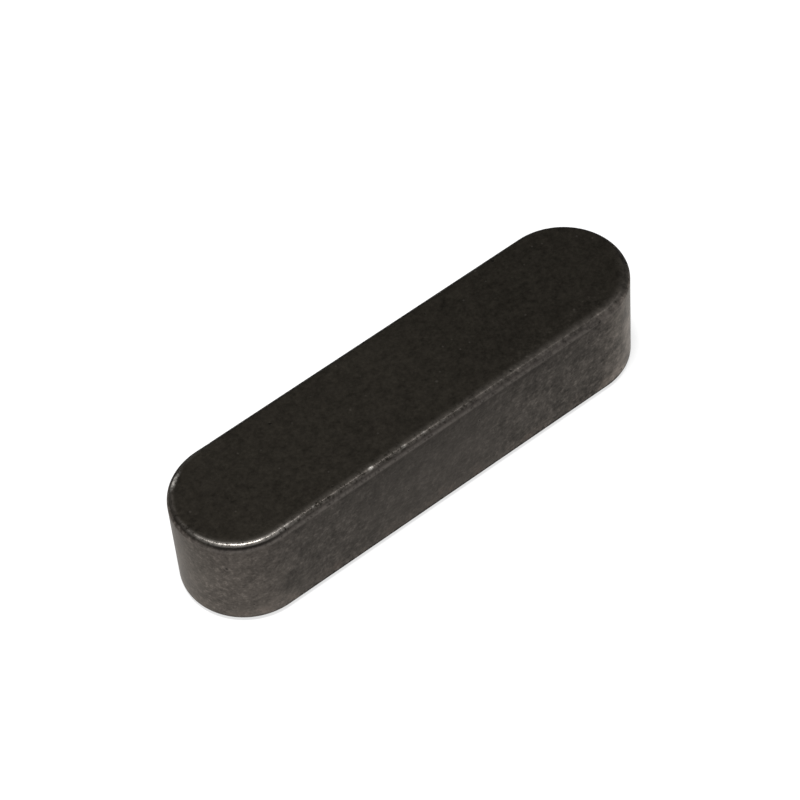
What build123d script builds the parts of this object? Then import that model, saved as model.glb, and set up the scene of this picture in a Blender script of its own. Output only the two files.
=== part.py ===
from build123d import *
import os

# Parallel key with full half-round ends, for a milled keyway between a shaft and a hub.
#
# The key is cut from square-cornered drawn bar. Its two ends are rounded to the full width, so that
# the flanks run into them without a step, and the edges of both broad faces are chamfered all the
# way round. Tumbling leaves a small radius on the two corners of that chamfer.
#
# Millimetres. Origin at the middle of the seat face (the underside), +X along the key, +Y across
# it, +Z up to the top face.

# Driving dimensions
KEY_WIDTH = 8.0        # from flank to flank: the fit in the keyway
KEY_HEIGHT = 7.0       # from the seat face to the top face
KEY_LENGTH = 32.0      # over both round ends
EDGE_CHAMFER = 0.3     # leg of the 45 degree chamfer round the top face and the seat face
CORNER_RADIUS = 0.2   # radius worn onto the two corners of each chamfer

# Worked out from them
END_RADIUS = KEY_WIDTH / 2                     # full radius: the end is a half round, not a corner
FLANK_LENGTH = KEY_LENGTH - 2 * END_RADIUS     # straight stretch that carries the load


def key_blank():
    """The bar with its two ends rounded, standing on the seat face."""
    plan = SlotCenterToCenter(FLANK_LENGTH, KEY_WIDTH)
    return extrude(plan, amount=KEY_HEIGHT)


def edges_at(solid, *heights):
    """Every edge that lies level at one of the heights."""
    return ShapeList(
        edge
        for height in heights
        for edge in solid.edges().filter_by_position(Axis.Z, height, height)
    )


def break_edges(blank):
    """Chamfer the rims of the seat face and the top face."""
    return chamfer(edges_at(blank, 0, KEY_HEIGHT), EDGE_CHAMFER)


def soften_corners(key):
    """Round the chamfers' own corners: where they meet the broad faces, and where they meet the side."""
    face_corners = edges_at(key, 0, KEY_HEIGHT)
    side_corners = edges_at(key, EDGE_CHAMFER, KEY_HEIGHT - EDGE_CHAMFER)
    return fillet(face_corners + side_corners, CORNER_RADIUS)


parallel_key = soften_corners(break_edges(key_blank()))

os.makedirs("parts", exist_ok=True)
export_step(parallel_key, "parts/parallel_key.step")

print("parallel_key: flank", FLANK_LENGTH, "mm, end radius", END_RADIUS, "mm,",
      len(parallel_key.faces()), "faces,", round(parallel_key.volume, 1), "mm3")
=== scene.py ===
# %% [markdown]
# # A parallel key in dark steel
# A parallel key is a small steel bar that sits half in a shaft and half in a hub, and makes them
# turn together. The CAD model is the frame for everything here: it is loaded first, it is never
# moved, and the key's length, width and height are read from it. Lengths are in metres, with X
# along the key and Z up.

# %% Load the frame
import math

import bpy
from mathutils import Matrix, Vector


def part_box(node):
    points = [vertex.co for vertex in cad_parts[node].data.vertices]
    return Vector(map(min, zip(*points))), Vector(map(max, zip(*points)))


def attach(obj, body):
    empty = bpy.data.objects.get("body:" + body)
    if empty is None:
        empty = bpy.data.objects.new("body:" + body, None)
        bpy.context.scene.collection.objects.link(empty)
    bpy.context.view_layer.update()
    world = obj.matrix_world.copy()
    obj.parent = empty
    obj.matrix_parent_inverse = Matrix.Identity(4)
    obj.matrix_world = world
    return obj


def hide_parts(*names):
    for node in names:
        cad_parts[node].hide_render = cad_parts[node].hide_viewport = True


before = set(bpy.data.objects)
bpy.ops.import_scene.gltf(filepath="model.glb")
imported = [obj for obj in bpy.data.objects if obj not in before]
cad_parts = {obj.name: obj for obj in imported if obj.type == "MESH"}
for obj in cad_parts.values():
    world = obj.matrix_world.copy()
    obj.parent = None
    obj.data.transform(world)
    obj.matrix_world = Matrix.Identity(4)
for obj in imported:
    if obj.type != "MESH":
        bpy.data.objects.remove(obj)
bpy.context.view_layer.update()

NODE = "parallel_key"
node_low, node_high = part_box(NODE)
KEY_LENGTH, KEY_WIDTH, KEY_HEIGHT = node_high - node_low
MM = 0.001
print(f"key: {KEY_LENGTH / MM:.2f} x {KEY_WIDTH / MM:.2f} x {KEY_HEIGHT / MM:.2f} mm")

# %% [markdown]
# ## Wiring nodes with plain arithmetic
# Geometry Nodes and shaders share the same Math nodes, and both get hard to read when each node is
# added by hand. A `Wire` stands for one output of a node. Adding or multiplying wires adds the Math
# nodes, so a rule such as `half_width - reach` is written the way it would be on paper. A `Bench`
# is the tree they lie in, and its `add` makes any other node.

# %% Wire and bench
class Wire:
    """One output of a node. Python's operators on it add Math nodes to its tree."""

    def __init__(self, bench, socket):
        self.bench = bench
        self.socket = socket

    def out(self, name):
        """Another output of the same node."""
        return Wire(self.bench, self.socket.node.outputs[name])

    def __add__(self, other):
        return self.bench.math("ADD", self, other)

    def __sub__(self, other):
        return self.bench.math("SUBTRACT", self, other)

    def __rsub__(self, other):
        return self.bench.math("SUBTRACT", other, self)

    def __mul__(self, other):
        return self.bench.math("MULTIPLY", self, other)

    def __truediv__(self, other):
        return self.bench.math("DIVIDE", self, other)

    def __rtruediv__(self, other):
        return self.bench.math("DIVIDE", other, self)

    def __pow__(self, other):
        return self.bench.math("POWER", self, other)

    def __gt__(self, other):
        return self.bench.math("GREATER_THAN", self, other)

    def __lt__(self, other):
        return self.bench.math("LESS_THAN", self, other)

    def __neg__(self):
        return self.bench.math("MULTIPLY", self, -1.0)

    def __abs__(self):
        return self.bench.math("ABSOLUTE", self)


class Bench:
    """A node tree that is wired up from Python."""

    def __init__(self, tree):
        self.tree = tree

    def add(self, kind, settings=None, sockets=None, out=None):
        """Make a node: its settings, then a value or a wire for each socket, by name or place."""
        node = self.tree.nodes.new(kind)
        for name, value in (settings or {}).items():
            setattr(node, name, value)
        for key, value in (sockets or {}).items():
            live = [socket for socket in node.inputs if socket.enabled]
            named = live[key] if isinstance(key, int) else next(s for s in live if s.name == key)
            if isinstance(value, Wire):
                self.tree.links.new(value.socket, named)
            elif named.type == "RGBA":
                named.default_value = (*value, 1.0)
            else:
                named.default_value = value
        shown = [socket for socket in node.outputs if socket.enabled]
        if not shown:
            return node
        return Wire(self, next((s for s in shown if s.name == out), shown[0]))

    def math(self, operation, *values):
        return self.add("ShaderNodeMath", {"operation": operation}, dict(enumerate(values)))

    def vector_math(self, operation, *values, out=None):
        sockets = dict(enumerate(values))
        return self.add("ShaderNodeVectorMath", {"operation": operation}, sockets, out)

    def vector(self, x=0.0, y=0.0, z=0.0):
        return self.add("ShaderNodeCombineXYZ", sockets={"X": x, "Y": y, "Z": z})

    def scale(self, vector, amount):
        """A vector or a colour times a number."""
        sockets = {"Vector": vector, "Scale": amount}
        return self.add("ShaderNodeVectorMath", {"operation": "SCALE"}, sockets)

    def mix(self, factor, first, second):
        """The first colour, giving way to the second as the factor goes from 0 to 1."""
        sockets = {"Factor": factor, "A": first, "B": second}
        return self.add("ShaderNodeMix", {"data_type": "RGBA"}, sockets)

    def split(self, vector):
        parts = self.add("ShaderNodeSeparateXYZ", sockets={0: vector})
        return parts.out("X"), parts.out("Y"), parts.out("Z")

    def clamp(self, value, lowest=0.0, highest=1.0):
        return self.add("ShaderNodeClamp", sockets={"Value": value, "Min": lowest, "Max": highest})

    def ease(self, value, start, end):
        """0 before start and 1 past end, with a soft step between them."""
        return self.add(
            "ShaderNodeMapRange",
            {"interpolation_type": "SMOOTHSTEP"},
            {"Value": value, "From Min": start, "From Max": end},
        )


operators = [name for name, made in vars(Wire).items() if name.startswith("__") and callable(made)]
print("operators:", ", ".join(name for name in operators if name != "__init__"))

# %% [markdown]
# ## Where a point lies on the key
# Nearly everything on a key follows two distances: how far a point lies inside the side wall, and
# how far from the nearer broad face. Both come from a rule, because the plan of the key is every
# point within half a width of its centre line. Geometry Nodes use the rule to find the edges, and
# the shader uses the same rule to wear them.

# %% Distances to the side wall and to the faces
FLANK_LENGTH = KEY_LENGTH - KEY_WIDTH
HALF_WIDTH = KEY_WIDTH / 2


def depths(bench, position, unit=1.0):
    """How far a point is inside the side wall and from the nearer broad face, in the given unit."""
    x, y, z = bench.split(position)
    past_flank = bench.math("MAXIMUM", abs(x) - FLANK_LENGTH / 2 / unit, 0.0)
    reach = bench.math("SQRT", past_flank * past_flank + y * y)
    inside_wall = HALF_WIDTH / unit - reach
    from_face = bench.math("MINIMUM", z, KEY_HEIGHT / unit - z)
    return inside_wall, from_face


print(f"flanks {FLANK_LENGTH / MM:.2f} mm long, ends {HALF_WIDTH / MM:.2f} mm in radius")

# %% [markdown]
# ## The skin of the key
# A key is cut from drawn bar, its ends are milled to half rounds as wide as the bar, its edges are
# chamfered, and it is tumbled, which rounds the chamfer's corners and leaves small nicks in them. A
# bevelled box would give a coarse end and no nicks. The shape has a rule instead: one half section,
# from the middle of the top face over the edge and down the wall to the middle of the underside, is
# carried round the key. Geometry Nodes draw that section with two fillets, the first of one step,
# which is a chamfer, and walk it along one flank, round an end, back along the other and round
# again. The chamfer and the radius of its corners are written out here with the values that the
# CAD model was made with.

# %% Sizes of the edge
EDGE_CHAMFER = 0.3 * MM
CORNER_RADIUS = 0.2 * MM
CORNER_STEPS = 5
ROW_GAP = 0.4 * MM
SEAM_GAP = 0.001 * MM
COLUMN_GAP = 0.062 * MM
flank_steps = round(FLANK_LENGTH / COLUMN_GAP)
end_steps = round(math.pi * HALF_WIDTH / COLUMN_GAP)
print(f"{flank_steps} steps along each flank, {end_steps} round each end")


# %% The half section
def half_section(bench, width, height, chamfer, corner_radius, row_gap):
    """The open outline from the top's middle to the underside's middle: x is reach, y is height."""
    half = width / 2
    corners = {
        "Point 1": bench.vector(0.0, height),
        "Point 2": bench.vector(half, height),
        "Point 3": bench.vector(half, 0.0),
        "Point 4": bench.vector(0.0, 0.0),
    }
    outline = bench.add("GeometryNodeCurvePrimitiveQuadrilateral", {"mode": "POINTS"}, corners)
    open_ended = {"Geometry": outline, "Cyclic": False}
    outline = bench.add("GeometryNodeSetSplineCyclic", sockets=open_ended)
    here = bench.add("GeometryNodeInputPosition")
    reach, _, _ = bench.split(here)
    on_rim = reach > half / 2
    for radius, steps in ((chamfer, 1), (corner_radius, CORNER_STEPS)):
        cut = {"Curve": outline, "Count": steps, "Radius": on_rim * radius, "Limit Radius": False}
        outline = bench.add("GeometryNodeFilletCurve", {"mode": "POLY"}, cut)
    following = bench.add(
        "GeometryNodeFieldAtIndex",
        {"data_type": "FLOAT_VECTOR", "domain": "POINT"},
        {"Value": here, "Index": bench.add("GeometryNodeInputIndex") + 1},
    )
    span = bench.vector_math("DISTANCE", here, following, out="Value")
    return bench.add(
        "GeometryNodeSubdivideCurve",
        sockets={"Curve": outline, "Cuts": bench.math("FLOOR", span / row_gap)},
    )


# %% The walk round the key
def walk_round(bench, section, length, width, flank_run, end_run):
    """A grid whose columns are steps round the key and whose rows are points of the section."""
    rows = bench.add(
        "GeometryNodeAttributeDomainSize",
        {"component": "CURVE"},
        {"Geometry": section},
        out="Point Count",
    )
    lap = (flank_run + end_run) * 2
    grid = {"Size X": 1.0, "Size Y": 1.0, "Vertices X": lap + 1, "Vertices Y": rows}
    skin = bench.add("GeometryNodeMeshGrid", sockets=grid)
    index = bench.add("GeometryNodeInputIndex")
    # Half a point more keeps a division that should come out whole from falling just short of it.
    column = bench.math("FLOOR", (index + 0.5) / rows)
    section_point = bench.add(
        "GeometryNodeSampleIndex",
        {"data_type": "FLOAT_VECTOR", "domain": "POINT"},
        {
            "Geometry": section,
            "Value": bench.add("GeometryNodeInputPosition"),
            "Index": index - column * rows,
        },
    )
    reach, level, _ = bench.split(section_point)

    def steps_done(start, run):
        return bench.clamp(column - start, 0.0, run)

    out = steps_done(0.0, flank_run)
    first_turn = steps_done(flank_run, end_run)
    back = steps_done(flank_run + end_run, flank_run)
    last_turn = steps_done(flank_run * 2 + end_run, end_run)
    flank = length - width
    spine = (out - back) * (flank / flank_run) - flank / 2
    heading = (first_turn + last_turn) * (math.pi / end_run)
    place = bench.vector(
        spine + reach * bench.math("SINE", heading),
        -(reach * bench.math("COSINE", heading)),
        level,
    )
    skin = bench.add("GeometryNodeSetPosition", sockets={"Geometry": skin, "Position": place})
    seam = {"Geometry": skin, "Distance": SEAM_GAP}
    skin = bench.add("GeometryNodeMergeByDistance", sockets=seam)
    return bench.add("GeometryNodeFlipFaces", sockets={"Mesh": skin})


# %% [markdown]
# ## Nicks in the edges
# Keys are tumbled and shipped loose in a box, so they knock each other's edges. Each knock is a
# shallow dent, a tenth to four tenths of a millimetre across. Points are scattered on the chamfers
# with a fixed seed, each with its own size, and the skin sinks near the closest one. The dents are
# real relief, so that each catches the light by its own slope, and they only ever go inwards, which
# keeps the key at its size.

# %% Dents round scattered points
NICK_DENSITY = 0.8 / MM**2
NICK_SMALLEST = 0.05 * MM
NICK_LARGEST = 0.2 * MM
NICK_STEEPNESS = 0.12
NICK_BAND = 1.2
NICK_SEED = 11


def nick_edges(bench, skin, chamfer, seed):
    """Sink the skin near points scattered on its chamfers."""
    here = bench.add("GeometryNodeInputPosition")
    inside_wall, from_face = depths(bench, here)
    scatter = {
        "Mesh": skin,
        "Selection": (inside_wall + from_face) < chamfer * NICK_BAND,
        "Density": NICK_DENSITY,
        "Seed": seed,
    }
    knocks = bench.add("GeometryNodeDistributePointsOnFaces", sockets=scatter)
    asked = {"Geometry": knocks, "Sample Position": here}
    closest = bench.add("GeometryNodeSampleNearest", sockets=asked)

    def of_closest(data_type, value):
        return bench.add(
            "GeometryNodeSampleIndex",
            {"data_type": data_type, "domain": "POINT"},
            {"Geometry": knocks, "Value": value, "Index": closest},
        )

    sizes = bench.add(
        "FunctionNodeRandomValue",
        {"data_type": "FLOAT"},
        {"Min": NICK_SMALLEST, "Max": NICK_LARGEST, "Seed": seed + 1},
    )
    size = of_closest("FLOAT", sizes)
    away = bench.vector_math("DISTANCE", here, of_closest("FLOAT_VECTOR", here), out="Value")
    depth = (1 - bench.ease(away / size, 0.0, 1.0)) * size * NICK_STEEPNESS
    inwards = bench.scale(bench.add("GeometryNodeInputNormal"), -depth)
    return bench.add("GeometryNodeSetPosition", sockets={"Geometry": skin, "Offset": inwards})


# %% The whole tree
SIZES = {
    "Length": KEY_LENGTH,
    "Width": KEY_WIDTH,
    "Height": KEY_HEIGHT,
    "Chamfer": EDGE_CHAMFER,
    "Corner Radius": CORNER_RADIUS,
    "Row Gap": ROW_GAP,
    "Flank Steps": flank_steps,
    "End Steps": end_steps,
    "Seed": NICK_SEED,
}


def key_tree():
    """The tree that makes the key, with a named input for each of its sizes."""
    tree = bpy.data.node_groups.new("round_ended_key", "GeometryNodeTree")
    tree.interface.new_socket("Geometry", in_out="OUTPUT", socket_type="NodeSocketGeometry")
    for name, value in SIZES.items():
        kind = "NodeSocketInt" if isinstance(value, int) else "NodeSocketFloat"
        tree.interface.new_socket(name, in_out="INPUT", socket_type=kind)
    tree.interface.new_socket("Finish", in_out="INPUT", socket_type="NodeSocketMaterial")
    bench = Bench(tree)
    given = tree.nodes.new("NodeGroupInput")
    size = {socket.name: Wire(bench, socket) for socket in given.outputs if socket.name}
    section_sizes = ("Width", "Height", "Chamfer", "Corner Radius", "Row Gap")
    section = half_section(bench, *(size[name] for name in section_sizes))
    walk_sizes = ("Length", "Width", "Flank Steps", "End Steps")
    skin = walk_round(bench, section, *(size[name] for name in walk_sizes))
    skin = nick_edges(bench, skin, size["Chamfer"], size["Seed"])
    skin = bench.add("GeometryNodeSetShadeSmooth", sockets={"Geometry": skin})
    skin = bench.add("GeometryNodeRealizeInstances", sockets={"Geometry": skin})
    coated = {"Geometry": skin, "Material": size["Finish"]}
    skin = bench.add("GeometryNodeSetMaterial", sockets=coated)
    tree.links.new(skin.socket, tree.nodes.new("NodeGroupOutput").inputs[0])
    return tree


# %% [markdown]
# ## The finish
# The key is blackened in a hot salt bath and given a coat of oil. That leaves a thin oxide, still a
# metal to the light but one that gives back only a few hundredths of it. A dark paint would be a
# coat with a clear gloss, so the oxide is made as a metal with a very dark reflectance instead. How
# dark each part is set follows partly what lies under it and partly painted light: the broad faces
# are ground and set the deepest black, which also paints shade onto the top face, the flanks come
# from the drawing die, and the ends come from the milling cutter and are set the lightest, which
# also paints light onto the round ends.

# %% Reflectances, as linear colours
# The ground and milled tones hold painted shade and painted light as well as the oxide's own tone.
GROUND_OXIDE_AND_PAINTED_SHADE = (0.0141, 0.0124, 0.0098)
DRAWN_OXIDE = (0.0440, 0.0386, 0.0343)
MILLED_OXIDE_AND_PAINTED_LIGHT = (0.0785, 0.0682, 0.0600)
# Blacks for painted shade; the deeper one is also the bottom of the pits.
PAINTED_SHADE_BLACK = (0.0050, 0.0046, 0.0042)
PAINTED_SHADE_AND_PIT_BLACK = (0.0030, 0.0028, 0.0026)
# Rubbed oxide, also used for painted sheen and painted glints.
RUBBED_OXIDE_AND_SHEEN = (0.1050, 0.0940, 0.0850)
BARE_STEEL = (0.4200, 0.4000, 0.3700)
RUST_TINT = (0.0620, 0.0400, 0.0310)
GRAZING_TINT = (0.80, 0.78, 0.75)

finish = bpy.data.materials.new("blackened_steel")
finish.use_nodes = True
finish.node_tree.nodes.clear()
steel = Bench(finish.node_tree)
place = steel.scale(steel.add("ShaderNodeTexCoord").out("Object"), 1 / MM)
along, across, up = steel.split(place)
inside_wall, from_face = depths(steel, place, MM)
print("the finish is laid out in millimetres on", finish.name)

# %% [markdown]
# ## Textures of the steel
# The bath works on a surface that is never quite even. Cloudy tones come from how the steel was
# dipped, clumps and grain from the skin the oxide grows on, and fine lines from the drawing die,
# which run along the bar. Each is one noise with its own number of features per millimetre. Round
# marks are made apart, one to a cell, because a dent has an edge and noise has none.

# %% Noise and spots
SEED_SHIFT = (1.0, 0.7, 0.3)
NOISE_MIDDLE = 0.5
NOISE_GAIN = 4
SMALLEST_SPOT = 0.6
SPOT_SPREAD = 0.6
EVEN = (1.0, 1.0, 1.0)


def shifted(bench, position, seed):
    """The position, moved by its own distance for each seed."""
    return bench.vector_math("ADD", position, tuple(seed * share for share in SEED_SHIFT))


def noise(bench, position, per_mm, stretch=EVEN, detail=3.0, roughness=0.55, seed=0.0):
    """Cloudy noise round 0, from about -1 to 1. A stretch below 1 draws it out along that axis."""
    where = shifted(bench, bench.vector_math("MULTIPLY", position, stretch), seed)
    cloud = bench.add(
        "ShaderNodeTexNoise",
        {"noise_dimensions": "3D"},
        {"Vector": where, "Scale": per_mm, "Detail": detail, "Roughness": roughness},
    )
    return (cloud - NOISE_MIDDLE) * NOISE_GAIN


def spots(bench, position, per_mm, radius, share, seed=0.0):
    """Round spots in a share of the cells: 1 at a spot's middle, falling to 0 at its rim."""
    where = shifted(bench, position, seed)
    cells = bench.add("ShaderNodeTexVoronoi", {"feature": "F1"}, {"Vector": where, "Scale": per_mm})
    lot, size, _ = bench.split(cells.out("Color"))
    reach = (size * SPOT_SPREAD + SMALLEST_SPOT) * (radius * per_mm)
    return (lot < share) * bench.clamp(1 - cells / reach)


# %% Each texture of the steel
ALONG_THE_BAR = (0.45, 0.45, 4.0)
UP_THE_END = (1.0, 1.0, 0.35)
FLECK_CLUMPS = 0.7
FLECK_GRAIN = 0.9

cloud = noise(steel, place, per_mm=0.8, seed=11.0)
clumps = noise(steel, place, per_mm=2.6, detail=4.0, roughness=0.65, seed=17.0)
grain = noise(steel, place, per_mm=5.5, detail=2.0, roughness=0.6, seed=23.0)
drawn = noise(
    steel, place, per_mm=1.0, stretch=ALONG_THE_BAR, detail=4.0, roughness=0.6, seed=31.0
)
milled = noise(steel, place, per_mm=2.2, stretch=UP_THE_END, seed=37.0)
knocks = noise(steel, place, per_mm=1.6, detail=2.0, seed=41.0)
flecks = clumps * FLECK_CLUMPS + grain * FLECK_GRAIN


def broken_up(contrast, middle):
    """How much of a layer is there, from 0 to 1: its middle value, broken up by the flecks."""
    return steel.clamp(flecks * contrast + middle)


print("nodes so far:", len(finish.node_tree.nodes))

# %% [markdown]
# ## Zones of wear
# A loose key isn't worn evenly. One flank and one end of this one have been handled and knocked
# more, and the oil has dulled the other end, whose very tip has been spared. Each zone is a soft
# step along one axis, in millimetres, and its border is broken up by the noise so that it never
# shows as a line.

# %% Where each zone starts and ends, in mm
END_BORDER = (-1.8, 2.4)
END_WANDER = 0.8
NEAR_SIDE = (-0.6, 3.2)
USED_END = (9.5, 13.5)
DULL_END = (-3.0, 7.0)
SIDE_BORDER = (0.11, 0.27)
SIDE_WANDER = 0.03
SIDE_CREEP = 0.03
DULL_CREEP = 0.09
SPARED_TIP = (12.6, 14.2)
SPARED_SHARE = 0.55
SPARED_CREEP = 0.06
FAR_SIDE = (-0.2, 1.0)
FAR_SIDE_SLANT = 0.166

past_flank = abs(along) - FLANK_LENGTH / 2 / MM
on_end = steel.ease(past_flank + cloud * END_WANDER, *END_BORDER)
handled = steel.ease(-across, *NEAR_SIDE)
used_end = steel.ease(-along, *USED_END)
dull = steel.ease(along, *DULL_END)
dull_round = dull * on_end
spared = steel.ease(along, *SPARED_TIP)
handled = handled * (1 - spared * SPARED_SHARE)
side_creep = handled * ((1 - used_end) * SIDE_CREEP + dull * DULL_CREEP) - spared * SPARED_CREEP
on_side = steel.ease(from_face + side_creep + flecks * SIDE_WANDER, *SIDE_BORDER)
# The far side, where the rim is painted with shade.
far_side = steel.ease(across + along * FAR_SIDE_SLANT, *FAR_SIDE)
print("used end: wear is full at", USED_END[1], "mm from the middle; dull end: at", DULL_END[1])

# %% [markdown]
# ## Mottling of the side wall
# The oxide on the side wall is mottled: big clouds from the dip, clumps and grain from the way it
# grows, light flakes where it came off, drawing lines on the flanks and cutter lines on the ends.
# How strong the mottling is changes along the key, because the middle has been wiped the most.

# %% Strength of each kind of mottling
CLOUD_SHARE = 0.32
DULL_CLOUD = 0.2
CLUMP_SHARE = 0.52
GRAIN_SHARE = 0.40
FLAKE_STEP = (0.1, 1.0)
FLAKE_GRAIN = 0.6
FLAKE_SHARE = 0.45
TIP_FLAKES = 0.3
TIP = (13.8, 15.6)
DRAWN_SHARE = 0.05
DULL_DRAWN = 0.15
MILLED_SHARE = 0.1
DULL_MILLED = 0.42
DULL_KNOCKS = 0.48

flakes = steel.ease(clumps + grain * FLAKE_GRAIN, *FLAKE_STEP)
flakes = flakes * (steel.ease(-along, *TIP) * TIP_FLAKES + FLAKE_SHARE)
clouds = cloud * (dull_round * DULL_CLOUD + CLOUD_SHARE)
drawn_lines = drawn * (1 - on_end) * (dull * DULL_DRAWN + DRAWN_SHARE)
cutter_lines = milled * on_end * (dull * DULL_MILLED + MILLED_SHARE)
mottling = clouds + clumps * CLUMP_SHARE + grain * GRAIN_SHARE + flakes
mottling = mottling + drawn_lines + cutter_lines + knocks * dull_round * DULL_KNOCKS
print("mottling added, nodes so far:", len(finish.node_tree.nodes))

# %% Strength of the mottling along the key
WIPED_MIDDLE = 0.62
TOWARDS_DULL = (1.0, 7.0)
DULL_GAIN = 0.48
TOWARDS_USED = (4.0, 8.0)
USED_GAIN = 0.28
USED_CALM = 0.24
DULL_ROUND_CALM = 0.2

patchy = steel.ease(along, *TOWARDS_DULL) * DULL_GAIN
patchy = patchy + steel.ease(-along, *TOWARDS_USED) * USED_GAIN
patchy = patchy + WIPED_MIDDLE - used_end * USED_CALM - dull_round * DULL_ROUND_CALM
print("mottling:", WIPED_MIDDLE, "in the middle,", WIPED_MIDDLE + DULL_GAIN, "towards the dull end")

# %% [markdown]
# ## Tone from the seat to the top
# The wall is painted darker upwards, and most of all just under the top edge: painted shade, with
# less of it on the ends and towards the used end. Close to the seat it is painted lighter, a
# painted reflection of the lit floor, with a band of painted shade just above that. Low on the dull
# end there is a stain of old oil, and past it a scuff. The faces get a little darker towards the
# dull end.

# %% Heights in mm and how much they change the tone
NEAR_SEAT = (0.70, 1.70)
SEAT_LINE = (0.45, 0.75)
ABOVE_SEAT = (1.6, 3.2)
LOW = (0.8, 3.0)
UPPER_HALF = (2.1, 6.65)
UNDER_EDGE = (5.6, 6.58)
NEAR_SEAT_PAINTED_REFLECTION = 0.28
SEAT_LINE_PAINTED_REFLECTION = 0.08
ABOVE_SEAT_PAINTED_SHADE = 0.10
UPPER_PAINTED_SHADE = 0.30
UNDER_EDGE_PAINTED_SHADE = 0.10
LESS_UPPER_SHADE_FROM = (6.0, 9.0)
LESS_UPPER_SHADE = 0.6

# Painted reflection of the lit floor low on the wall; painted shade up the wall and just under the
# top edge.
near_seat = 1 - steel.ease(up, *NEAR_SEAT)
seat_line = 1 - steel.ease(up, *SEAT_LINE)
above_seat = 1 - steel.ease(up, *ABOVE_SEAT)
painted_upper_shade = steel.ease(up, *UPPER_HALF) * UPPER_PAINTED_SHADE + steel.ease(up, *UNDER_EDGE) * UNDER_EDGE_PAINTED_SHADE
less_upper_shade = steel.math("MAXIMUM", on_end, steel.ease(-along, *LESS_UPPER_SHADE_FROM))
painted_upper_shade = painted_upper_shade * (1 - less_upper_shade * LESS_UPPER_SHADE)
painted_light_by_height = 1 - painted_upper_shade - above_seat * ABOVE_SEAT_PAINTED_SHADE + near_seat * NEAR_SEAT_PAINTED_REFLECTION
painted_light_by_height = painted_light_by_height + seat_line * SEAT_LINE_PAINTED_REFLECTION
# The darkening printed here is painted shade.
print("oil darkens the wall by", UPPER_PAINTED_SHADE + UNDER_EDGE_PAINTED_SHADE, "under the top edge")

# %% Scuffs and the stain low on the wall
DULL_SCUFF = (11.1, 12.5)
DULL_SCUFF_END = (13.2, 14.6)
DULL_SCUFF_FADE = 0.5
DULL_SCUFF_LIGHT = 0.85
USED_SCUFF = (8.5, 10.8)
USED_SCUFF_END = (13.0, 14.8)
USED_SCUFF_LIGHT = 0.26
STAIN = (7.0, 10.0)
STAIN_END = (11.0, 12.5)
STAIN_DARK = 0.20
DULL_ROUND_LIGHT = 0.2
RAGGED_CLOUD = 0.5
RAGGED_KNOCKS = 0.4
RAGGED_MIDDLE = 0.6

ragged = steel.clamp(cloud * RAGGED_CLOUD + knocks * RAGGED_KNOCKS + RAGGED_MIDDLE)
dull_scuff = steel.ease(along, *DULL_SCUFF)
dull_scuff = dull_scuff - steel.ease(along, *DULL_SCUFF_END) * DULL_SCUFF_FADE
low_tone = dull_scuff * ragged * DULL_SCUFF_LIGHT
used_scuff = steel.ease(-along, *USED_SCUFF) - steel.ease(-along, *USED_SCUFF_END)
stain = steel.ease(along, *STAIN) - steel.ease(along, *STAIN_END)
low_tone = low_tone + used_scuff * USED_SCUFF_LIGHT - stain * STAIN_DARK
low_tone = low_tone * (1 - steel.ease(up, *LOW))
print("scuffs and a stain lie below", LOW[1], "mm")

# %% The oxide all over
FACE_CLOUD = 0.10
FACE_CLUMPS = 0.28
FACE_GRAIN = 0.22
FACE_DARKENING = (-1.0, 6.0)
FACE_DARKER = 0.14

side_tone = (mottling * patchy + low_tone + dull_round * DULL_ROUND_LIGHT + 1) * painted_light_by_height
face_tone = cloud * FACE_CLOUD + clumps * FACE_CLUMPS + grain * FACE_GRAIN
# The faces get darker towards the dull end.
face_tone = face_tone + 1 - steel.ease(along, *FACE_DARKENING) * FACE_DARKER
# Painted light: the ends are set lighter and the faces darker than the flanks, beyond the oxide's
# own tone.
side = steel.scale(steel.mix(on_end, DRAWN_OXIDE, MILLED_OXIDE_AND_PAINTED_LIGHT), side_tone)
face = steel.scale(GROUND_OXIDE_AND_PAINTED_SHADE, face_tone)
oxide = steel.mix(on_side, face, side)
print("side wall and faces are toned, nodes so far:", len(finish.node_tree.nodes))

# %% [markdown]
# ## Wear on the edges
# Tumbling and handling rub the oxide off the two corners of the chamfer, and a knock here and there
# goes through to bright steel. The two corners are lines that the two distances already give, so
# the wear is a narrow band round each. Next to the upper corner a soft, lighter shoulder spreads
# onto the face, partly rubbed oxide and partly a painted sheen where a rolled edge would catch the
# light.

# %% Soft shoulder and the lower corner line
SHOULDER_WIDTH = 0.48
DULL_SHOULDER = 0.08
SHOULDER_WANDER = 0.08
DULL_SHOULDER_WANDER = 0.05
SHOULDER_FLECKS = 0.5
DULL_SHOULDER_FLECKS = 0.3
SHOULDER_MIDDLE = 0.5
SHOULDER_SHARE = 0.45
DULL_SHOULDER_SHARE = 0.12
SIDE_LINE = (0.02, 0.23)
SIDE_LINE_WANDER = 0.06
SIDE_LINE_FLECKS = 0.6
SIDE_LINE_MIDDLE = 0.75
SIDE_LINE_SHARE = 0.85
DULL_SIDE_LINE = 0.15
chamfer = EDGE_CHAMFER / MM


def from_point(bench, inside, below):
    """How far a place is from the section's point this far inside the wall and below the face."""
    return bench.math("SQRT", (inside_wall - inside) ** 2 + (from_face - below) ** 2)


to_face_corner = from_point(steel, chamfer, 0.0)
to_side_corner = from_point(steel, 0.0, chamfer)
shoulder_wander = flecks * (SHOULDER_WANDER - dull * DULL_SHOULDER_WANDER)
shoulder_width = dull * DULL_SHOULDER + SHOULDER_WIDTH
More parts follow.
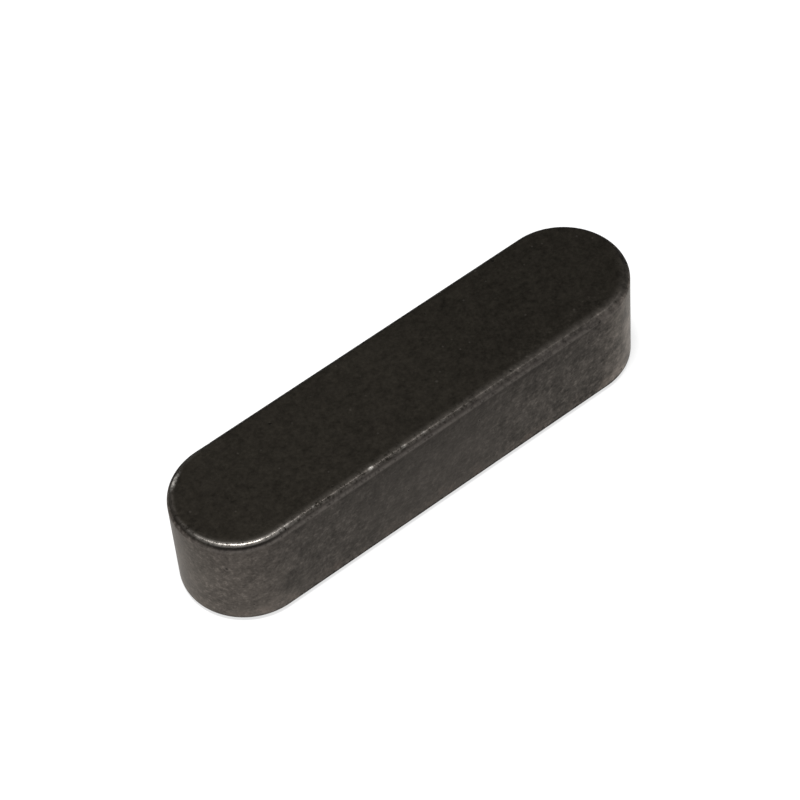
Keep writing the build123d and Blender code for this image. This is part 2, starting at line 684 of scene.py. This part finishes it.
# The shoulder is part rubbed oxide and part painted sheen.
shoulder = 1 - steel.ease(to_face_corner + shoulder_wander, 0.0, shoulder_width)
shoulder_flecks = SHOULDER_FLECKS - dull * DULL_SHOULDER_FLECKS
shoulder = shoulder * handled * broken_up(shoulder_flecks, SHOULDER_MIDDLE)
shoulder = shoulder * (dull * DULL_SHOULDER_SHARE + SHOULDER_SHARE)
side_line = 1 - steel.ease(to_side_corner + flecks * SIDE_LINE_WANDER, *SIDE_LINE)
side_line = side_line * handled * broken_up(SIDE_LINE_FLECKS, SIDE_LINE_MIDDLE)
side_line = side_line * (SIDE_LINE_SHARE - dull * DULL_SIDE_LINE)
print("chamfer", round(chamfer, 2), "mm, rubbed along both corners")

# %% The upper corner line
LINE_SHIFT = 0.05
FACE_LINE = (0.04, 0.22)
FACE_LINE_WANDER = 0.04
RUBBED_SHARE = 0.28
USED_RUBBED = 0.14
DULL_RUBBED = 0.12
RUBBED_CLOUD = 0.3
RUBBED_FLECKS = 0.45
DULL_FLECKS = 0.25
ROUND_THE_END = 0.32

line_shift = (1 - used_end) * LINE_SHIFT
to_line = from_point(steel, chamfer - line_shift, line_shift)
face_line = 1 - steel.ease(to_line + flecks * FACE_LINE_WANDER, *FACE_LINE)
near_rim = steel.math("MAXIMUM", handled, used_end * ROUND_THE_END)
rubbed = used_end * USED_RUBBED - dull * DULL_RUBBED + RUBBED_SHARE
rubbed = rubbed + cloud * RUBBED_CLOUD + flecks * (RUBBED_FLECKS - dull * DULL_FLECKS)
rubbed = face_line * near_rim * steel.clamp(rubbed)
print("the upper line is at most", 2 * FACE_LINE[1], "mm wide")

# %% Bright steel
USED_BARE = 0.24
USED_BARE_FLECKS = 0.25
SPARK_LINE = (0.03, 0.15)
SPARK_WANDER = 0.03
SPARK_STEP = (0.2, 0.65)
SPARK_SHARE = 0.16
DULL_SPARKS = 0.14
KNOCK_REACH = (0.04, 0.24)
DEEP_KNOCKS = ((-5.3, 0.55), (-2.9, 0.18))
FAR_KNOCK_FROM = (2.4, 2.8)
FAR_KNOCK_TO = (-3.3, -3.0)
FAR_KNOCK_FLECKS = 0.6
FAR_KNOCK_MIDDLE = 0.4

sparks = steel.ease(knocks, *SPARK_STEP) * (SPARK_SHARE - dull * DULL_SPARKS)
for knocked_at, strength in DEEP_KNOCKS:
    sparks = sparks + (1 - steel.ease(abs(along - knocked_at), *KNOCK_REACH)) * strength
spark_line = 1 - steel.ease(to_face_corner + flecks * SPARK_WANDER, *SPARK_LINE)
bare = face_line * used_end * (flecks * USED_BARE_FLECKS + USED_BARE) + spark_line * sparks
bare = steel.clamp(bare) * handled
far_knock = used_end * steel.ease(across, *FAR_KNOCK_FROM) * steel.ease(-across, *FAR_KNOCK_TO)
far_knock = far_knock * face_line * broken_up(FAR_KNOCK_FLECKS, FAR_KNOCK_MIDDLE)
print("deep knocks at", [knocked_at for knocked_at, _ in DEEP_KNOCKS], "mm")

# %% [markdown]
# ## Painted shade on the rim, at the foot and in the chamfer
# Three places are painted a dull black that hardly acts as a metal. The far rim gets painted shade,
# which stands for the dark surroundings it would reflect; the foot next to the seat gets a painted
# shadow line; and the flat of the chamfer round the used end gets a painted dark reflection, which
# sets off the bright line above it.

# %% Painted shade on the rim, at the foot and in the chamfer
RIM_START = (-0.1, 0.0)
RIM_DEPTH = (-0.20, -0.05)
RIM_SHARE = 0.8
RIM_FLECKS = 0.35
FOOT = (0.38, 0.52)
FOOT_WANDER = 0.08
FOOT_SHARE = 0.75
FOOT_FLECKS = 0.2
USED_FOOT = 0.45
FLAT_START = (0.04, 0.11)
FLAT_DEPTH = (0.0, 0.1)
FLAT_SIDE = (1.2, 2.5)
FLAT_SHARE = 0.8

# Painted shade in the far chamfer, standing for dark surroundings in its reflection.
in_rim = steel.ease(chamfer - inside_wall, *RIM_START) * steel.ease(chamfer - from_face, *RIM_DEPTH)
rim = in_rim * far_side * (flecks * RIM_FLECKS + RIM_SHARE)
# A painted shadow line at the foot, next to the seat.
foot = 1 - steel.ease(up + flecks * FOOT_WANDER, *FOOT)
foot = foot * (flecks * FOOT_FLECKS + FOOT_SHARE - used_end * USED_FOOT)
painted_rim_and_foot_shade = steel.clamp(steel.math("MAXIMUM", rim, foot))
# A painted dark reflection in the flat of the chamfer, under the bright line.
flat = steel.ease(chamfer - inside_wall, *FLAT_START) * steel.ease(chamfer - from_face, *FLAT_DEPTH)
flat = flat * used_end * steel.ease(-across, *FLAT_SIDE) * FLAT_SHARE
painted_dark = steel.math("MAXIMUM", painted_rim_and_foot_shade, flat)
# The height printed here is that of the painted shadow at the foot.
print("matt scale reaches", FOOT[1], "mm up from the seat")

# %% Layers of wear and painted shade over the oxide
layers = (
    (shoulder, RUBBED_OXIDE_AND_SHEEN),
    (side_line, RUBBED_OXIDE_AND_SHEEN),
    (painted_rim_and_foot_shade, PAINTED_SHADE_BLACK),
    (flat, PAINTED_SHADE_AND_PIT_BLACK),
    (rubbed, RUBBED_OXIDE_AND_SHEEN),
    (bare, BARE_STEEL),
    (far_knock, BARE_STEEL),
)
worn = oxide
for cover, reflectance in layers:
    worn = steel.mix(cover, worn, reflectance)
print(len(layers), "layers, from oxide to bare steel")

# %% [markdown]
# ## Pits, glints and rust
# Small pits have a dark bottom and a raised light rim. A few glints are painted highlights: small
# light spots laid into the colour. A breath of rust shows low on the wall, where damp stays between
# the key and its shelf.

# %% Marks
PITS = {"per_mm": 1.1, "radius": 0.17, "share": 0.14, "seed": 5.0}
GLINTS = {"per_mm": 1.6, "radius": 0.1, "share": 0.3, "seed": 8.0}
PIT_STEP = (0.35, 0.6)
PIT_RIM_STEP = (0.0, 0.3)
GLINT_STEP = (0.0, 0.5)
PIT_DARK = 0.7
PIT_RIM_LIGHT = 0.25
GLINT_LIGHT = 0.14
RUST_CLOUD = 0.4
RUST_CLUMPS = 0.25
MOST_RUST = 0.5

pit = spots(steel, place, **PITS)
pit_bottom = steel.ease(pit, *PIT_STEP)
pit_rim = steel.ease(pit, *PIT_RIM_STEP) * (1 - pit_bottom)
# Painted glints: small spots painted lighter.
glints = steel.ease(spots(steel, place, **GLINTS), *GLINT_STEP)
rust = near_seat * steel.clamp(cloud * RUST_CLOUD + clumps * RUST_CLUMPS, 0.0, MOST_RUST)
colour = steel.mix(rust, worn, RUST_TINT)
colour = steel.mix(pit_bottom * PIT_DARK, colour, PAINTED_SHADE_AND_PIT_BLACK)
colour = steel.mix(pit_rim * on_side * PIT_RIM_LIGHT, colour, RUBBED_OXIDE_AND_SHEEN)
colour = steel.mix(glints * GLINT_LIGHT, colour, RUBBED_OXIDE_AND_SHEEN)
print("marks added, nodes so far:", len(finish.node_tree.nodes))

# %% [markdown]
# ## The surface itself
# The same wear drives the gloss and the relief: a rubbed corner is smoother than the scale beside
# it, and the zones of painted shade hardly act as a metal at all. The relief is a few thousandths
# of a millimetre deep, which is below what a mesh should carry, so it is a bump.

# %% Gloss, relief and output
PAINTED_DARK_NON_METAL = 0.95
ROUGHNESS = 0.44
CLUMP_ROUGHNESS = 0.04
RUBBED_SMOOTHER = 0.09
RELIEF = 0.006 * MM
CLUMP_RELIEF = 0.5
LINE_RELIEF = 0.8
GRAIN_RELIEF = 0.35
DRAWN_RELIEF = 0.12
PIT_DEPTH = 2.0

# The zones of painted shade are made nearly non-metallic.
metallic = 1 - painted_dark * PAINTED_DARK_NON_METAL
gloss = clumps * CLUMP_ROUGHNESS + ROUGHNESS - face_line * near_rim * RUBBED_SMOOTHER
rough_line = face_line * (1 - used_end) * (1 - dull)
relief = clumps * (rough_line * LINE_RELIEF + CLUMP_RELIEF) + grain * GRAIN_RELIEF
relief = relief + drawn * on_side * (1 - on_end) * DRAWN_RELIEF - pit_bottom * PIT_DEPTH
bump = steel.add("ShaderNodeBump", sockets={"Height": relief, "Distance": RELIEF, "Strength": 1.0})
surface = {
    "Base Color": colour,
    "Metallic": metallic,
    "Roughness": gloss,
    "Normal": bump,
    "Specular IOR Level": 0.0,
    "Specular Tint": GRAZING_TINT,
}
shader = steel.add("ShaderNodeBsdfPrincipled", sockets=surface)
steel.add("ShaderNodeOutputMaterial", sockets={"Surface": shader})
print(finish.name, "has", len(finish.node_tree.nodes), "nodes")

# %% [markdown]
# ## Making the key
# The tree runs once, on an empty carrier object, with every size given by name. What it makes is
# kept as a plain mesh and the carrier goes, so that the key is ordinary geometry in the model's own
# place, with nothing left to be worked out later.

# %% Run the tree and keep its mesh
def make_key(material):
    """Run the node tree with the sizes above and return its mesh as one object."""
    tree = key_tree()
    carrier = bpy.data.objects.new("carrier", bpy.data.meshes.new("carrier"))
    bpy.context.scene.collection.objects.link(carrier)
    walk = carrier.modifiers.new("walk", "NODES")
    walk.node_group = tree
    for item in tree.interface.items_tree:
        if item.in_out == "INPUT":
            walk[item.identifier] = SIZES.get(item.name, material)
    evaluated = carrier.evaluated_get(bpy.context.evaluated_depsgraph_get())
    mesh = bpy.data.meshes.new_from_object(evaluated)
    bpy.data.objects.remove(carrier)
    mesh.materials.clear()
    mesh.materials.append(material)
    mesh.polygons.foreach_set("material_index", [0] * len(mesh.polygons))
    made = bpy.data.objects.new("round_ended_key", mesh)
    bpy.context.scene.collection.objects.link(made)
    return made


key = make_key(finish)
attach(key, "root")
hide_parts(NODE)
triangles = sum(len(face.vertices) - 2 for face in key.data.polygons)
print(triangles, "triangles, finished in", [material.name for material in key.data.materials])

# %% [markdown]
# ## The floor
# The key lies on white paper. To the eye and in the key's own reflections the paper is nearly as
# white as the light that falls on it, but the light it passes on is that of plain paper, and it
# still takes the key's shadow.

# %% White paper
FLOOR_HALF = 1.5
PAPER_WHITE = (0.9, 0.9, 0.9)
PURE_WHITE = (1.0, 1.0, 1.0)
PAPER_GLOW = 0.7


def seen_directly(bench):
    """1 for what the eye sees, straight or in a reflection, and 0 for light that things pass on."""
    path = bench.add("ShaderNodeLightPath")
    seen = path.out("Is Camera Ray")
    for name in ("Is Glossy Ray", "Is Transmission Ray"):
        seen = bench.math("MAXIMUM", seen, path.out(name))
    return seen


def white_paper():
    """Diffuse paper that glows a little where it is seen directly."""
    material = bpy.data.materials.new("white_paper")
    material.use_nodes = True
    material.node_tree.nodes.clear()
    bench = Bench(material.node_tree)
    paper = bench.add("ShaderNodeBsdfDiffuse", sockets={"Color": PAPER_WHITE})
    glow = bench.add("ShaderNodeEmission", sockets={"Color": PURE_WHITE, "Strength": 1.0})
    seen = seen_directly(bench) * PAPER_GLOW
    both = bench.add("ShaderNodeMixShader", sockets={0: seen, 1: paper, 2: glow})
    bench.add("ShaderNodeOutputMaterial", sockets={"Surface": both})
    return material


def lay_floor(half, level, material):
    """A square sheet, centred under the key."""
    corners = [(x * half, y * half, level) for x, y in ((-1, -1), (1, -1), (1, 1), (-1, 1))]
    mesh = bpy.data.meshes.new("floor")
    mesh.from_pydata(corners, [], [(0, 1, 2, 3)])
    mesh.materials.append(material)
    floor = bpy.data.objects.new("floor", mesh)
    bpy.context.scene.collection.objects.link(floor)
    return floor


lay_floor(FLOOR_HALF, node_low.z, white_paper())
print("floor at", round(node_low.z / MM, 3), "mm")

# %% [markdown]
# ## The camera
# A product shot of a part this small is taken from above and a little to one side, close to a
# hand's length away, so that the top face, one flank and one round end all show. The camera is set
# by where it stands round the key, how high, how far and how it is tilted.

# %% Place the camera
CAMERA_AZIMUTH = -34.471
CAMERA_ELEVATION = 51.727
CAMERA_ROLL = -5.422
CAMERA_DISTANCE = 193.3 * MM
CAMERA_LENS = 149.24
CAMERA_NEAREST = 1.0 * MM
AIM_LEFT = 0.377 * MM
AIM_UP = 1.049 * MM


def from_above(azimuth, elevation):
    """The direction of a place seen from the key. Azimuth 0 is in front and grows to the right."""
    turn, rise = math.radians(azimuth), math.radians(elevation)
    level = math.cos(rise)
    return Vector((math.sin(turn) * level, -math.cos(turn) * level, math.sin(rise)))


def aim_camera():
    """A camera that looks at the key's middle from the set angle."""
    roll = math.radians(CAMERA_ROLL)
    back = from_above(CAMERA_AZIMUTH, CAMERA_ELEVATION)
    level = Vector((0, 0, 1)).cross(back).normalized()
    upright = back.cross(level)
    right = level * math.cos(roll) + upright * math.sin(roll)
    over = upright * math.cos(roll) - level * math.sin(roll)
    aim = (node_low + node_high) / 2 - right * AIM_LEFT + over * AIM_UP
    stand = aim + back * CAMERA_DISTANCE
    data = bpy.data.cameras.new("camera")
    data.lens = CAMERA_LENS
    data.clip_start = CAMERA_NEAREST
    camera = bpy.data.objects.new("camera", data)
    turned = Matrix((right, over, back)).transposed().to_4x4()
    camera.matrix_world = Matrix.Translation(stand) @ turned
    bpy.context.scene.collection.objects.link(camera)
    bpy.context.scene.camera = camera
    return camera


camera = aim_camera()
print("camera at", [round(value / MM, 1) for value in camera.location], "mm")

# %% [markdown]
# ## The lights
# The key lies in a light tent: white on every side, which is what a dark metal needs, because it
# shows little but reflections. One small lamp overhead draws the bright line on the rounded corner
# nearest to the eye, and a weaker one low behind puts a spark on the far side of the used end.

# %% Lamps
LAMP_DISTANCE = 0.5
TOP_LAMP = {"azimuth": -60.0, "elevation": 84.0, "size": 0.1, "power": 2.8}
BACK_LAMP = {"azimuth": 177.0, "elevation": 26.0, "size": 0.05, "power": 0.25}


def softbox(name, azimuth, elevation, size, power):
    """A round lamp that faces the key."""
    away = from_above(azimuth, elevation)
    data = bpy.data.lights.new(name, "AREA")
    data.shape = "DISK"
    data.size = size
    data.energy = power
    lamp = bpy.data.objects.new(name, data)
    facing = away.to_track_quat("Z", "Y").to_matrix().to_4x4()
    lamp.matrix_world = Matrix.Translation(away * LAMP_DISTANCE) @ facing
    bpy.context.scene.collection.objects.link(lamp)
    return lamp


softbox("top_softbox", **TOP_LAMP)
softbox("back_softbox", **BACK_LAMP)

# %% The tent
TENT_LIGHT = 0.55
TENT_SEEN = 1.0
tent = bpy.data.worlds.new("light_tent")
bpy.context.scene.world = tent
tent.use_nodes = True
tent.node_tree.nodes.clear()
air = Bench(tent.node_tree)
light = air.add("ShaderNodeBackground", sockets={"Color": PURE_WHITE, "Strength": TENT_LIGHT})
white = air.add("ShaderNodeBackground", sockets={"Color": PURE_WHITE, "Strength": TENT_SEEN})
both = air.add("ShaderNodeMixShader", sockets={0: seen_directly(air), 1: light, 2: white})
air.add("ShaderNodeOutputWorld", sockets={"Surface": both})
print("tent light", TENT_LIGHT, "seen as", TENT_SEEN)

# %% [markdown]
# ## Colour view
# The walk round the key has to give the model's own size back, because other parts are fitted to
# it. The scene is shown with the standard view transform.

# %% Standard view
bpy.context.scene.view_settings.view_transform = "Standard"
